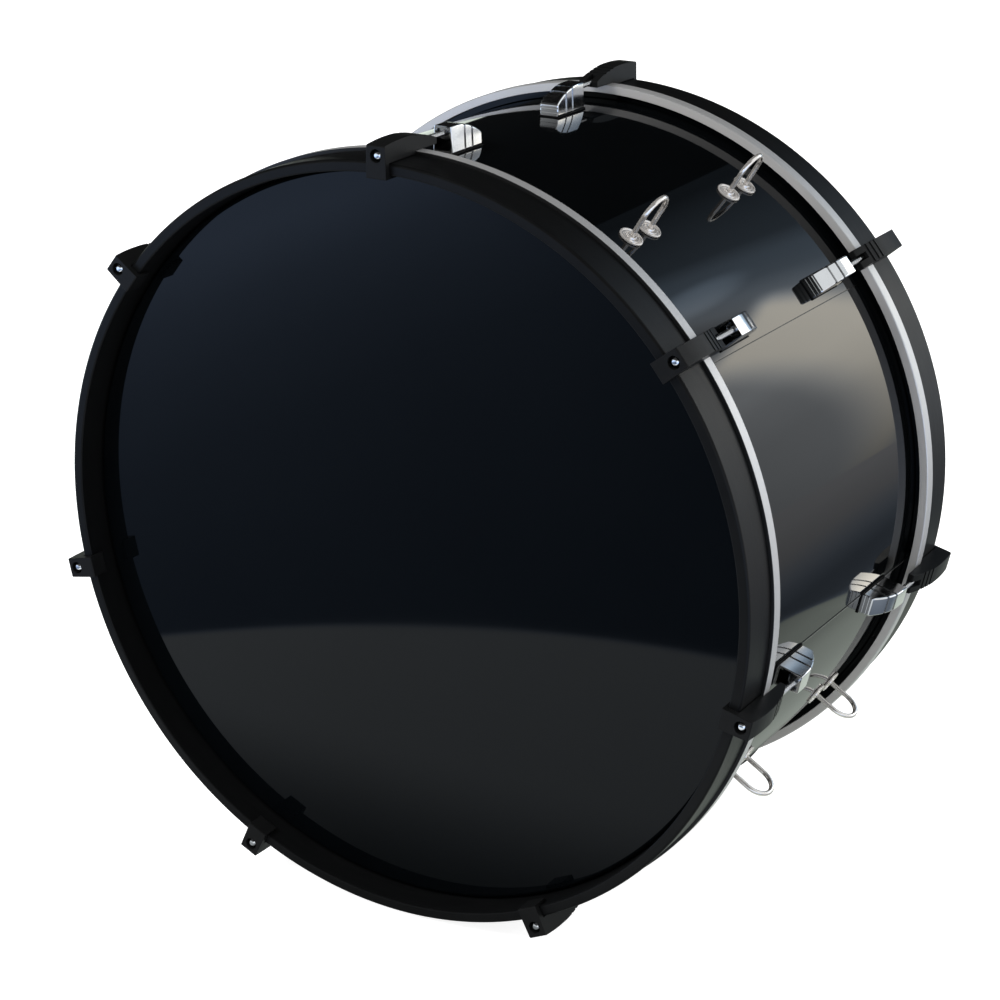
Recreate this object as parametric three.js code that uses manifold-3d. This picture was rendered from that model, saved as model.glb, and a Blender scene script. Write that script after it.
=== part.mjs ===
// Marching bass drum lying on its rims, drum axis along Y, the front head facing -Y, millimetres, +Z up.
// The origin lies below the middle of the drum, in the plane it rests on.

import * as THREE from 'three';
import { mergeVertices } from 'three/addons/utils/BufferGeometryUtils.js';
import Module from 'manifold-3d';

const wasm = await Module();
wasm.setup();

// Counts and angles. Every ring is a polygon whose flats are centred on the stations.
const stationCount = 7;
const facetsPerStation = 8;
const ringFacets = stationCount * facetsPerStation;
const stationStep = 2 * Math.PI / stationCount;
const topAngle = Math.PI / 2;
const carrySideAngle = topAngle - 1.5 * stationStep;
const carryLoopSpread = Math.PI / 4;
const ventAngle = 2 * topAngle;
const holeSides = 8;
const screwSides = 6;
const flangeSides = 12;
const wireSteps = 16;
const bowSteps = 4;

// Fits
const seatGap = 0.3;
const runningGap = 0.3;
const overrun = 2;

// Shell
const shellRadius = 330;
const shellWall = 7.5;
const shellLength = 365.4;
const bearingRoundover = 4;
const bearingCut = 3.5;

// Heads
const filmThickness = 0.6;
const collarDepth = 13;
const filmTuck = 6.8;
const filmFlangeDepth = 5.4;

// Flesh hoops
const fleshGap = 1.3;
const fleshWidth = 12.5;
const fleshDepth = 12.2;
const fleshEase = 1.4;

// Counterhoops
const hoopThickness = 9.8;
const hoopDepth = 40;
const hoopEase = 3;

// Tension rods
const rodRadius = 2.75;
const rodStandOff = 0.75;
const rodCollarRadius = 4.9;
const rodCollarThickness = 2;
const rodSquare = 6.35;
const rodSquareLength = 4.5;
const rodEndReach = 2;

// Claws
const clawWidth = 19.2;
const clawFace = 6;
const clawReach = 72;
const clawRoof = 10.7;
const clawNoseRoof = 8.8;
const clawNoseSlope = 18;
const clawRoofFlat = 12;
const clawTailRoof = 2.3;
const clawLipDepth = 12;
const clawLipThickness = 2.9;
const clawCounterbore = 5.5;
const clawCounterboreDepth = 7;
const clawFork = 13;

// Lugs
const lugWidth = 19.2;
const lugLength = 49.3;
const lugRoof = 6.3;
const lugRoofFlat = 8;
const lugFarHeight = 11.9;
const lugWall = 2;
const lugFloor = 2.5;
const lugFromFleshHoop = 43.4;
const nutRadius = 4.7;
const nutInset = 4;
const nutLength = 16;
const lugPostRadius = 3;
const lugPostInset = 12;
const lugScrewHeadRadius = 5.5;
const lugScrewHeadHeight = 2.8;

// Carry loops
const loopWireRadius = 2.2;
const loopHalfSpan = 16;
const loopProjection = 38;
const loopInset = 91.7;
const loopFlangeRadius = 10.8;
const loopFlangeThickness = 2.6;
const loopNutRadius = 5.6;
const loopNutHeight = 5;
const loopLegTail = 2;

// Air vent grommet
const ventBore = 5;
const ventBarrelWall = 1.6;
const ventFlangeRadius = 11;
const ventFlangeThickness = 1.8;

// Derived radii, all from the drum's axis
const filmInnerRadius = shellRadius + seatGap;
const filmOuterRadius = filmInnerRadius + filmThickness;
const ringBore = filmOuterRadius + fleshGap;
const fleshOuterRadius = ringBore + fleshWidth;
const hoopOuterRadius = ringBore + hoopThickness;
const rodCircle = Math.max(fleshOuterRadius, hoopOuterRadius) + rodStandOff + rodRadius;
const clawOuterRadius = rodCircle + clawRoof;
const clawNoseRadius = rodCircle + clawNoseRoof;
const clawTailRadius = rodCircle + clawTailRoof;
const clawOverFlesh = rodCircle - rodRadius - rodStandOff + seatGap;
const clawOverHoop = hoopOuterRadius + seatGap;
const lugBase = shellRadius + seatGap;
const lugTop = rodCircle + lugRoof;
const axisHeight = Math.max(fleshOuterRadius, hoopOuterRadius);

// Derived places along the axis: depths count inwards from the face of a hoop
const headRecess = hoopDepth + seatGap - collarDepth;
const shellEdgeDepth = headRecess + filmThickness + seatGap;
const fleshFrontDepth = hoopDepth + seatGap;
const fleshBackDepth = fleshFrontDepth + fleshDepth;
const lugMouthDepth = fleshBackDepth + lugFromFleshHoop;
const hoopFace = shellLength / 2 + shellEdgeDepth;
const counterboreFloorDepth = clawCounterboreDepth - clawFace;
const rodEndDepth = lugMouthDepth + nutInset + nutLength + rodEndReach;

const finishes = {
  shellWrap: { color: 0x0b0d11, roughness: 0.08, metalness: 0 },
  film: { color: 0x14181d, roughness: 0.16, metalness: 0 },
  hoop: { color: 0x2f3033, roughness: 0.5, metalness: 0 },
  fleshHoop: { color: 0xc9ccd0, roughness: 0.28, metalness: 1 },
  chrome: { color: 0xdadde0, roughness: 0.08, metalness: 1 },
  claw: { color: 0x232427, roughness: 0.55, metalness: 0 },
  loop: { color: 0xbfc1c0, roughness: 0.2, metalness: 1 },
  vent: { color: 0xd0d2d4, roughness: 0.15, metalness: 1 },
};

// A polygon with this many flats stands outside the circle that its flats touch.
function cornerRadius(radius, sides) {
  return radius / Math.cos(Math.PI / sides);
}

function welded(geometry) {
  const bare = geometry.clone();
  bare.deleteAttribute('normal');
  bare.deleteAttribute('uv');
  return mergeVertices(bare);
}

function toSolid(geometry) {
  const mesh = welded(geometry);
  const vertProperties = Float32Array.from(mesh.attributes.position.array);
  const triVerts = Uint32Array.from(mesh.index.array);
  return new wasm.Manifold(new wasm.Mesh({ numProp: 3, vertProperties, triVerts }));
}

function toGeometry(solid) {
  const mesh = solid.getMesh();
  const geometry = new THREE.BufferGeometry();
  geometry.setAttribute('position', new THREE.BufferAttribute(mesh.vertProperties, 3));
  geometry.setIndex(new THREE.BufferAttribute(mesh.triVerts, 1));
  geometry.computeVertexNormals();
  return geometry;
}

// Turns a closed outline of [radius, depth] corners, given counter-clockwise, about the drum's axis.
function turned(outline) {
  const corners = outline.map(([radius, y]) => new THREE.Vector2(cornerRadius(radius, ringFacets), y));
  return welded(new THREE.LatheGeometry(corners, ringFacets, Math.PI / ringFacets));
}

// Outline drawn as (along Y, up Z), given its thickness across X and centred on it.
function acrossWidth(shape, width, curveSegments) {
  const options = { depth: width, bevelEnabled: false, curveSegments };
  const geometry = new THREE.ExtrudeGeometry(shape, options);
  geometry.translate(0, 0, -width / 2);
  const alongY = new THREE.Vector3(0, 1, 0);
  const upZ = new THREE.Vector3(0, 0, 1);
  const acrossX = new THREE.Vector3(1, 0, 0);
  return geometry.applyMatrix4(new THREE.Matrix4().makeBasis(alongY, upZ, acrossX));
}

// Bar along Y from one depth to another, its flats touching the given radius.
function barAlong(radius, sides, from, to, height) {
  const corner = cornerRadius(radius, sides);
  const geometry = new THREE.CylinderGeometry(corner, corner, to - from, sides, 1, false, Math.PI / sides);
  return geometry.translate(0, (from + to) / 2, height);
}

// Peg along Z from one height to another, its flats touching the given radius.
function pegUp(radius, sides, from, to, y) {
  const corner = cornerRadius(radius, sides);
  const geometry = new THREE.CylinderGeometry(corner, corner, to - from, sides, 1, false, Math.PI / sides);
  geometry.rotateX(Math.PI / 2);
  return geometry.translate(0, y, (from + to) / 2);
}

// Turns a tool made at the top of the drum to the given angle round its axis.
function turnedTo(geometry, angle) {
  return geometry.rotateY(topAngle - angle);
}

function hoopOutline() {
  return [
    [ringBore, hoopEase / 2 - hoopFace],
    [ringBore + hoopEase / 2, -hoopFace],
    [hoopOuterRadius - hoopEase, -hoopFace],
    [hoopOuterRadius, hoopEase - hoopFace],
    [hoopOuterRadius, hoopDepth - hoopFace],
    [ringBore, hoopDepth - hoopFace],
    [ringBore, hoopEase / 2 - hoopFace],
  ];
}

// Channel ring: its slot opens towards the shell and holds the turned-out rim of the film.
function fleshHoopOutline() {
  const front = fleshFrontDepth - hoopFace;
  const back = fleshBackDepth - hoopFace;
  const slotFront = front + filmFlangeDepth - runningGap;
  const slotBack = front + filmFlangeDepth + filmThickness + runningGap;
  const slotEnd = ringBore + filmTuck + runningGap;
  return [
    [ringBore, front],
    [fleshOuterRadius - fleshEase, front],
    [fleshOuterRadius, front + fleshEase],
    [fleshOuterRadius, back],
    [ringBore, back],
    [ringBore, slotBack],
    [slotEnd, slotBack],
    [slotEnd, slotFront],
    [ringBore, slotFront],
    [ringBore, front],
  ];
}

function filmOutline() {
  const face = headRecess - hoopFace;
  const inside = face + filmThickness;
  const bendRadius = shellRadius - bearingRoundover;
  const bendEnd = shellEdgeDepth + bearingRoundover - hoopFace;
  const flangeFront = fleshFrontDepth + filmFlangeDepth - hoopFace;
  const flangeBack = flangeFront + filmThickness;
  const flangeEdge = ringBore + filmTuck;
  return [
    [0, face],
    [bendRadius, face],
    [filmOuterRadius, bendEnd],
    [filmOuterRadius, flangeFront],
    [flangeEdge, flangeFront],
    [flangeEdge, flangeBack],
    [filmInnerRadius, flangeBack],
    [filmInnerRadius, bendEnd],
    [bendRadius, inside],
    [0, inside],
  ];
}

function shellOutline() {
  const half = shellLength / 2;
  const inner = shellRadius - shellWall;
  const crest = shellRadius - bearingRoundover;
  return [
    [crest, -half],
    [shellRadius, bearingRoundover - half],
    [shellRadius, half - bearingRoundover],
    [crest, half],
    [inner, half - bearingCut],
    [inner, bearingCut - half],
    [crest, -half],
  ];
}

function lugPostDepths() {
  return [lugMouthDepth + lugPostInset, lugMouthDepth + lugLength - lugPostInset];
}

function loopPlace() {
  return shellLength / 2 - loopInset;
}

// Peg right through the shell's wall, used to drill it at the top.
function drillAt(radius, sides, y) {
  const from = shellRadius - shellWall - overrun;
  return pegUp(radius, sides, from, shellRadius + overrun, y);
}

function shellDrills() {
  const drills = [];
  for (const angle of stationAngles()) {
    for (const depth of lugPostDepths()) {
      for (const side of [-1, 1]) {
        const y = side * (hoopFace - depth);
        drills.push(turnedTo(drillAt(lugPostRadius + runningGap, screwSides, y), angle));
      }
    }
  }
  for (const angle of loopAngles()) {
    for (const side of [-1, 1]) {
      for (const leg of [-loopHalfSpan, loopHalfSpan]) {
        const y = side * loopPlace() + leg;
        drills.push(turnedTo(drillAt(loopWireRadius + runningGap, holeSides, y), angle));
      }
    }
  }
  const ventHole = ventBore + ventBarrelWall + runningGap;
  drills.push(turnedTo(drillAt(ventHole, flangeSides, 0), ventAngle));
  return drills;
}

function shellGeometry() {
  let solid = toSolid(turned(shellOutline()));
  for (const drill of shellDrills()) {
    solid = solid.subtract(toSolid(drill));
  }
  return toGeometry(solid);
}

// Side view of a claw: end face and lip in front of the hoop, arched back over hoop and flesh hoop.
function clawShape() {
  const face = -hoopFace - clawFace;
  const tail = clawReach - hoopFace;
  const crest = face + clawNoseSlope;
  const flatEnd = crest + clawRoofFlat;
  const lipRadius = ringBore - seatGap;
  const hoopFront = -hoopFace - seatGap;
  const shape = new THREE.Shape();
  shape.moveTo(face, lipRadius - clawLipThickness);
  shape.lineTo(clawLipDepth - hoopFace, lipRadius - clawLipThickness);
  shape.lineTo(clawLipDepth - hoopFace, lipRadius);
  shape.lineTo(hoopFront, lipRadius);
  shape.lineTo(hoopFront, clawOverHoop);
  shape.lineTo(hoopDepth - seatGap - hoopFace, clawOverHoop);
  shape.lineTo(hoopDepth - seatGap - hoopFace, clawOverFlesh);
  shape.lineTo(tail, clawOverFlesh);
  shape.lineTo(tail, clawTailRadius);
  shape.quadraticCurveTo((flatEnd + tail) / 2, clawOuterRadius, flatEnd, clawOuterRadius);
  shape.lineTo(crest, clawOuterRadius);
  shape.lineTo(face, clawNoseRadius);
  return shape;
}

// The rod lies in a bore that opens upwards into a fork at the tail of the claw.
function clawGeometry() {
  const face = -hoopFace - clawFace;
  const tail = clawReach - hoopFace;
  const boreRadius = rodRadius + runningGap;
  const floor = counterboreFloorDepth - hoopFace;
  const slotHeight = clawOuterRadius - rodCircle + overrun;
  const slot = new THREE.BoxGeometry(2 * boreRadius, clawFork + overrun, slotHeight);
  slot.translate(0, tail + overrun / 2 - clawFork / 2, rodCircle + slotHeight / 2);
  const bore = barAlong(boreRadius, holeSides, face, tail + overrun, rodCircle);
  const counterbore = barAlong(clawCounterbore, flangeSides, face - overrun, floor, rodCircle);
  const body = toSolid(acrossWidth(clawShape(), clawWidth, bowSteps));
  const bored = body.subtract(toSolid(bore)).subtract(toSolid(slot));
  return toGeometry(bored.subtract(toSolid(counterbore)));
}

// Key rod: square head in the counterbore, collar on its floor, shank into the captive nut.
function rodGeometry() {
  const collarBack = counterboreFloorDepth - seatGap - hoopFace;
  const collarFront = collarBack - rodCollarThickness;
  const corner = cornerRadius(rodSquare / 2, 4);
  const shankFrom = collarFront + rodCollarThickness / 2;
  const shankLength = rodEndDepth - hoopFace - shankFrom;
  const shank = new THREE.CylinderGeometry(rodRadius, rodRadius, shankLength, holeSides);
  shank.translate(0, shankFrom + shankLength / 2, rodCircle);
  const collarShape = [rodCollarRadius, rodCollarRadius, rodCollarThickness, flangeSides];
  const collar = new THREE.CylinderGeometry(...collarShape);
  collar.translate(0, collarFront + rodCollarThickness / 2, rodCircle);
  const headLength = rodSquareLength + rodCollarThickness / 2;
  const head = new THREE.CylinderGeometry(corner, corner, headLength, 4, 1, false, Math.PI / 4);
  head.translate(0, collarFront - rodSquareLength + headLength / 2, rodCircle);
  return toGeometry(toSolid(shank).add(toSolid(collar)).add(toSolid(head)));
}

// Side view of a lug, inset by a wall when it is the hollow: flat roof, then a long bow down to the far end.
function lugShape(inset, base, mouth) {
  const start = lugMouthDepth - hoopFace;
  const far = start + lugLength - inset;
  const top = lugTop - inset;
  const farTop = shellRadius + lugFarHeight - inset;
  const bowStart = start + lugRoofFlat;
  const shape = new THREE.Shape();
  shape.moveTo(start - mouth, base);
  shape.lineTo(far, base);
  shape.lineTo(far, farTop);
  shape.quadraticCurveTo((bowStart + far) / 2, top, bowStart, top);
  shape.lineTo(start - mouth, top);
  return shape;
}

// Hollow cast lug with its captive nut, and the two posts and screw heads that hold it to the shell.
function lugGeometry() {
  const start = lugMouthDepth - hoopFace;
  const nutFront = start + nutInset;
  const inside = shellRadius - shellWall - seatGap;
  const headMiddle = inside - lugScrewHeadHeight / 2;
  const hollowWidth = lugWidth - 2 * lugWall;
  const hollow = acrossWidth(lugShape(lugWall, lugBase + lugFloor, overrun), hollowWidth, bowSteps);
  const nut = barAlong(nutRadius, holeSides, nutFront, nutFront + nutLength, rodCircle);
  const boreEnd = rodEndDepth - hoopFace + runningGap;
  const bore = barAlong(rodRadius + runningGap, holeSides, start - overrun, boreEnd, rodCircle);
  let solid = toSolid(acrossWidth(lugShape(0, lugBase, 0), lugWidth, bowSteps));
  solid = solid.subtract(toSolid(hollow)).add(toSolid(nut)).subtract(toSolid(bore));
  for (const depth of lugPostDepths()) {
    const y = depth - hoopFace;
    const post = pegUp(lugPostRadius, screwSides, headMiddle, lugBase + lugFloor / 2, y);
    const head = pegUp(lugScrewHeadRadius, screwSides, inside - lugScrewHeadHeight, inside, y);
    solid = solid.add(toSolid(post)).add(toSolid(head));
  }
  return toGeometry(solid);
}

// Bent wire: up one leg, over a half circle and down the other leg, in the plane of the drum's axis.
class LoopWire extends THREE.Curve {
  constructor(foot, spring, halfSpan) {
    super();
    this.foot = foot;
    this.spring = spring;
    this.halfSpan = halfSpan;
  }

  getPoint(share, target = new THREE.Vector3()) {
    const leg = this.spring - this.foot;
    const arc = Math.PI * this.halfSpan;
    const run = share * (2 * leg + arc);
    if (run <= leg) {
      return target.set(0, -this.halfSpan, this.foot + run);
    }
    if (run >= leg + arc) {
      return target.set(0, this.halfSpan, this.spring - (run - leg - arc));
    }
    const turn = (run - leg) / this.halfSpan;
    const y = -this.halfSpan * Math.cos(turn);
    return target.set(0, y, this.spring + this.halfSpan * Math.sin(turn));
  }
}

function wireSection(radius, sides) {
  const corners = [];
  for (let i = 0; i < sides; i += 1) {
    const angle = 2 * Math.PI * (i + 0.5) / sides;
    corners.push(new THREE.Vector2(radius * Math.cos(angle), radius * Math.sin(angle)));
  }
  return new THREE.Shape(corners);
}

// Carry loop with its two flange washers outside the shell and its two nuts inside.
function loopGeometry() {
  const inside = shellRadius - shellWall - seatGap;
  const outside = shellRadius + seatGap;
  const foot = inside - loopNutHeight - loopLegTail;
  const spring = shellRadius + loopProjection - loopHalfSpan;
  const path = new LoopWire(foot, spring, loopHalfSpan);
  const options = { steps: wireSteps, bevelEnabled: false, extrudePath: path };
  let solid = toSolid(new THREE.ExtrudeGeometry(wireSection(loopWireRadius, holeSides), options));
  for (const leg of [-loopHalfSpan, loopHalfSpan]) {
    const flange = pegUp(loopFlangeRadius, flangeSides, outside, outside + loopFlangeThickness, leg);
    const nut = pegUp(loopNutRadius, screwSides, inside - loopNutHeight, inside, leg);
    solid = solid.add(toSolid(flange)).add(toSolid(nut));
  }
  return toGeometry(solid);
}

// Grommet: a barrel through the wall with a flange on each side.
function ventGeometry() {
  const inside = shellRadius - shellWall - seatGap;
  const outside = shellRadius + seatGap;
  const barrelRadius = ventBore + ventBarrelWall;
  const outerFlange = pegUp(ventFlangeRadius, flangeSides, outside, outside + ventFlangeThickness, 0);
  const innerFlange = pegUp(ventFlangeRadius, flangeSides, inside - ventFlangeThickness, inside, 0);
  const innerFace = inside - ventFlangeThickness;
  const outerFace = outside + ventFlangeThickness;
  const barrel = pegUp(barrelRadius, flangeSides, innerFace, outerFace, 0);
  const bore = pegUp(ventBore, flangeSides, innerFace - overrun, outerFace + overrun, 0);
  const solid = toSolid(barrel).add(toSolid(outerFlange)).add(toSolid(innerFlange));
  return toGeometry(solid.subtract(toSolid(bore)));
}

function stationAngles() {
  const angles = [];
  for (let i = 0; i < stationCount; i += 1) {
    angles.push(topAngle + i * stationStep);
  }
  return angles;
}

function loopAngles() {
  return [carrySideAngle + carryLoopSpread, carrySideAngle - carryLoopSpread];
}

function pieceOf(name, geometry, finish) {
  const mesh = new THREE.Mesh(geometry, new THREE.MeshStandardMaterial(finishes[finish]));
  mesh.name = name;
  return mesh;
}

// Carrier for what sits at one angle of one end; pieces are made at the top of the front end.
function seatAt(angle, end) {
  const seat = new THREE.Group();
  seat.rotation.y = topAngle - angle;
  const side = new THREE.Group();
  side.rotation.z = end === 'rear' ? Math.PI : 0;
  seat.add(side);
  return { seat, side };
}

function addStations(drum, end) {
  const lug = lugGeometry();
  const claw = clawGeometry();
  const rod = rodGeometry();
  stationAngles().forEach((angle, i) => {
    const { seat, side } = seatAt(angle, end);
    side.add(pieceOf(`lug_${end}_${i + 1}`, lug, 'chrome'));
    side.add(pieceOf(`claw_${end}_${i + 1}`, claw, 'claw'));
    side.add(pieceOf(`tension_rod_${end}_${i + 1}`, rod, 'chrome'));
    drum.add(seat);
  });
}

function addEnd(drum, end) {
  const { seat, side } = seatAt(topAngle, end);
  side.add(pieceOf(`counterhoop_${end}`, turned(hoopOutline()), 'hoop'));
  side.add(pieceOf(`flesh_hoop_${end}`, turned(fleshHoopOutline()), 'fleshHoop'));
  side.add(pieceOf(`head_film_${end}`, turned(filmOutline()), 'film'));
  drum.add(seat);
}

function addLoops(drum) {
  const names = ['upper', 'lower'];
  loopAngles().forEach((angle, i) => {
    for (const end of ['front', 'rear']) {
      const { seat } = seatAt(angle, 'front');
      const loop = pieceOf(`carry_loop_${names[i]}_${end}`, loopGeometry(), 'loop');
      loop.position.y = end === 'front' ? -loopPlace() : loopPlace();
      seat.add(loop);
      drum.add(seat);
    }
  });
}

function bassDrum() {
  const drum = new THREE.Group();
  drum.add(pieceOf('shell', shellGeometry(), 'shellWrap'));
  for (const end of ['front', 'rear']) {
    addEnd(drum, end);
    addStations(drum, end);
  }
  addLoops(drum);
  const { seat } = seatAt(ventAngle, 'front');
  seat.add(pieceOf('vent_grommet', ventGeometry(), 'vent'));
  drum.add(seat);
  drum.position.z = axisHeight;
  return drum;
}

export default bassDrum();
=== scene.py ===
# Marching bass drum standing on its rims: drum axis along Y, the front head facing -Y, +Z up.
# Pieces are drawn in millimetres at the top of the front end, with Z counted from the drum's
# axis, and then turned to their place. The finished meshes, lights and camera are in metres.

import math

import bmesh
import bpy
from mathutils import Matrix, Vector


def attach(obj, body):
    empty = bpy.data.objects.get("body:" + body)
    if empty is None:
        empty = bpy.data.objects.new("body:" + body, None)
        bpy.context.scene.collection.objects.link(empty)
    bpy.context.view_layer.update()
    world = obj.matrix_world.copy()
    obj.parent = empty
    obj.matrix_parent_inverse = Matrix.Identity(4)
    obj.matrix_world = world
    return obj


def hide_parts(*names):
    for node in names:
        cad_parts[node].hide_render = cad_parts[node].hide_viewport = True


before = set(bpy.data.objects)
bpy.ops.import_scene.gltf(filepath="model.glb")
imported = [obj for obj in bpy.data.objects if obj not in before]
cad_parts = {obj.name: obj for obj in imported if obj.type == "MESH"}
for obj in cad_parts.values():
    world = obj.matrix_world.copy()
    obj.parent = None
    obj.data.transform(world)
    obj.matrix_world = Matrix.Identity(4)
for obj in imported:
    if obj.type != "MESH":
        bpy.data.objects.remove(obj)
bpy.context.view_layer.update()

MILLIMETRE = 0.001
ORIGIN = (0, 0, 0)
FULL_TURN = 2 * math.pi
HALF_TURN = math.pi
QUARTER_TURN = math.pi / 2
DEGREES = 180 / math.pi
TOP = QUARTER_TURN

# Fineness of the meshes, in steps, millimetres and radians
RING_STEPS = 280
PEG_STEPS = 32
VENT_STEPS = 48
CORNER_STEPS = 6
MERGE = 0.001
MERGE_CUT = 0.002
MERGE_WIRE = 0.01
SHARP = math.radians(32)

# Stations round the drum
STATIONS = 7
STATION_STEP = FULL_TURN / STATIONS
CARRY_SIDE = TOP - 1.5 * STATION_STEP
LOOP_SPREAD = math.pi / 4
VENT_ANGLE = math.pi
ENDS = ("front", "rear")

# Shell
SHELL_RADIUS = 330.0
SHELL_WALL = 7.5
SHELL_LENGTH = 365.4
SEAT_GAP = 0.3
SHELL_INSIDE = SHELL_RADIUS - SHELL_WALL - SEAT_GAP
BEARING_ROUND = 4.0
BEARING_INNER_ROUND = 2.5
VENT_HOLE = 6.9
HOLE_REACH = 20.0

# Hoops and heads, depths counted inwards from the face of a hoop
HOOP_BORE = 332.2
HOOP_OUTER = 342.0
HOOP_DEPTH = 40.0
HOOP_FACE = 210.9
FLESH_OUTER = 344.7
FLESH_INNER = 336.6
FLESH_LIP = FLESH_INNER - 3.6
FLESH_FROM = 40.3
FLESH_TO = 52.5
SLOT_FROM = FLESH_FROM + 5.1
SLOT_TO = FLESH_FROM + 6.3
SLOT_BOTTOM = FLESH_INNER + 4.2
HEAD_DEPTH = 27.3
FILM = 0.6
FLANGE_FROM = FLESH_FROM + 5.4
FLANGE_OUTER = FLESH_INNER + 3.6
AXIS_HEIGHT = 344.7

# Rods and claws
ROD_CIRCLE = 348.2
ROD_RADIUS = 2.75
KEY_SQUARE = 6.35
ROD_COLLAR = 0.7
COLLAR_THICK = 1.8
COLLAR_BACK = 0.6
ROD_END = 117.9
CLAW_WIDTH = 19.2
CLAW_OUTER = 358.9
CLAW_NOSE = 357.0
CLAW_TAIL = 350.5
CLAW_LIP = (329.0, 331.9)
CLAW_LIP_DEPTH = 12.0
CLAW_OVER_HOOP = (342.3, -0.3, 39.7)  # height, from and to in depth
CLAW_OVER_FLESH = 345.0
CLAW_FACE = -6.0
CLAW_CREST = 12.0
CLAW_BOW = 48.0
CLAW_REACH = 72.0
CLAW_LEAN = 0.1
CLAW_FORK = (3.05, 59.0)  # half width, from in depth
CLAW_COUNTERBORE = (5.5, 7.0)  # radius, depth
CLAW_GROOVES = ((41.0, 358.0), (48.0, 357.0), (55.0, 355.5))  # depth, height of the back
CLAW_GROOVE = (1.3, 0.9)  # half width, how deep
CLAW_PAST = 12

# Lugs
LUG_MOUTH = 95.9
LUG_LENGTH = 49.3
LUG_WIDTH = 19.2
LUG_TOP = 354.5
LUG_BASE = 331.2
LUG_FAR_TOP = 341.9
LUG_LEAN = 0.11
LUG_WALL = 2.2
LUG_FLOOR = 2.5
LUG_BOW = (8.0, 17.0)  # from the mouth, rounding
LUG_GROOVES = (15.8, 27.6)
LUG_GROOVE = (1.5, 1.0)  # half width, how deep
LUG_BARS = (334.6, 338.4)
LUG_BAR = (0.8, 0.7)  # half width, how deep
LUG_PAST = 15
POST_INSET = 12.0
NUT_INSET = 4.0
GASKET_BASE = 329.9
GASKET_MARGIN = 0.7

# Carry loops
LOOP_PLACE = 91.0
LOOP_HALF_SPAN = 16.0
LOOP_SPRING = 352.0
LOOP_FOOT = SHELL_INSIDE - 7.0
WIRE_RADIUS = 2.2
WIRE_HOLE = 2.3
WASHER_RADIUS = 10.8
WASHER_BASE = SHELL_RADIUS - 0.05


def depth(inwards):
    """Place along the axis, in the front end, of a depth counted from the face of the hoop."""
    return inwards - HOOP_FACE


# ---------------------------------------------------------------- modelling

def drawn(corners):
    """Stock with a flat outline across X, from corners of (along the axis, out, rounding)."""
    stock = bmesh.new()
    points = [stock.verts.new((0, along, out)) for along, out, _ in corners]
    stock.faces.new(points)
    for rounding in sorted({corner[2] for corner in corners if corner[2] > 0}):
        chosen = [point for point, corner in zip(points, corners) if corner[2] == rounding]
        bmesh.ops.bevel(stock, geom=chosen, offset=rounding, offset_type="OFFSET",
                        segments=CORNER_STEPS, profile=0.5, affect="VERTICES", material=-1)
    return stock


def outlined(corners):
    """Stock with the edges alone of an outline."""
    stock = drawn(corners)
    bmesh.ops.delete(stock, geom=stock.faces[:], context="FACES_ONLY")
    return stock


def spun(stock, axis, steps):
    """Turns the edges of a stock once round an axis through the origin."""
    bmesh.ops.spin(stock, geom=stock.verts[:] + stock.edges[:], cent=ORIGIN, axis=axis,
                   angle=FULL_TURN, steps=steps, use_merge=True)


def loose(stock, name):
    """An object of its own from a stock, for modifiers and Boolean tools."""
    mesh = bpy.data.meshes.new(name)
    stock.to_mesh(mesh)
    stock.free()
    body = bpy.data.objects.new(name, mesh)
    bpy.context.scene.collection.objects.link(body)
    return body


def finished(stock, name):
    """The mesh of a piece: smooth but for its sharp edges, with its large faces shading flat."""
    body = loose(stock, name)
    mesh = body.data
    mesh.shade_smooth()
    mesh.set_sharp_from_angle(angle=SHARP)
    even = body.modifiers.new("even", "WEIGHTED_NORMAL")
    even.keep_sharp = True
    graph = bpy.context.evaluated_depsgraph_get()
    result = bpy.data.meshes.new_from_object(body.evaluated_get(graph),
                                             preserve_all_data_layers=True, depsgraph=graph)
    bpy.data.objects.remove(body)
    bpy.data.meshes.remove(mesh)
    result.name = name
    return result


def slab(corners, width, chamfer=0.0, segments=2):
    """Solid with the given side view, centred across X."""
    stock = drawn(corners)
    bmesh.ops.translate(stock, verts=stock.verts, vec=(-width / 2, 0, 0))
    grown = bmesh.ops.extrude_face_region(stock, geom=stock.faces[:])
    moved = [item for item in grown["geom"] if isinstance(item, bmesh.types.BMVert)]
    bmesh.ops.translate(stock, verts=moved, vec=(width, 0, 0))
    bmesh.ops.recalc_face_normals(stock, faces=stock.faces)
    if chamfer:
        rims = [edge for edge in stock.edges if side_rim(edge, width / 2)]
        bmesh.ops.bevel(stock, geom=rims, offset=chamfer, offset_type="OFFSET",
                        segments=segments, profile=0.5, affect="EDGES", material=-1,
                        clamp_overlap=True)
    return stock


def side_rim(edge, half, near=0.01):
    """Whether an edge runs round one of the two flat sides of a slab."""
    one, two = edge.verts
    return abs(one.co.x - two.co.x) < near and abs(abs(one.co.x) - half) < near


def spun_ring(corners):
    """Ring with the given section, turned about the drum's axis."""
    stock = outlined(corners)
    spun(stock, (0, 1, 0), RING_STEPS)
    bmesh.ops.recalc_face_normals(stock, faces=stock.faces)
    return stock


def turned_peg(section, steps=PEG_STEPS, centre=(0.0, 0.0)):
    """Solid of revolution standing up Z, from corners of (height, radius)."""
    stock = lathed(section, steps)
    bmesh.ops.translate(stock, verts=stock.verts, vec=(centre[0], centre[1], 0))
    bmesh.ops.recalc_face_normals(stock, faces=stock.faces)
    return stock


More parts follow.
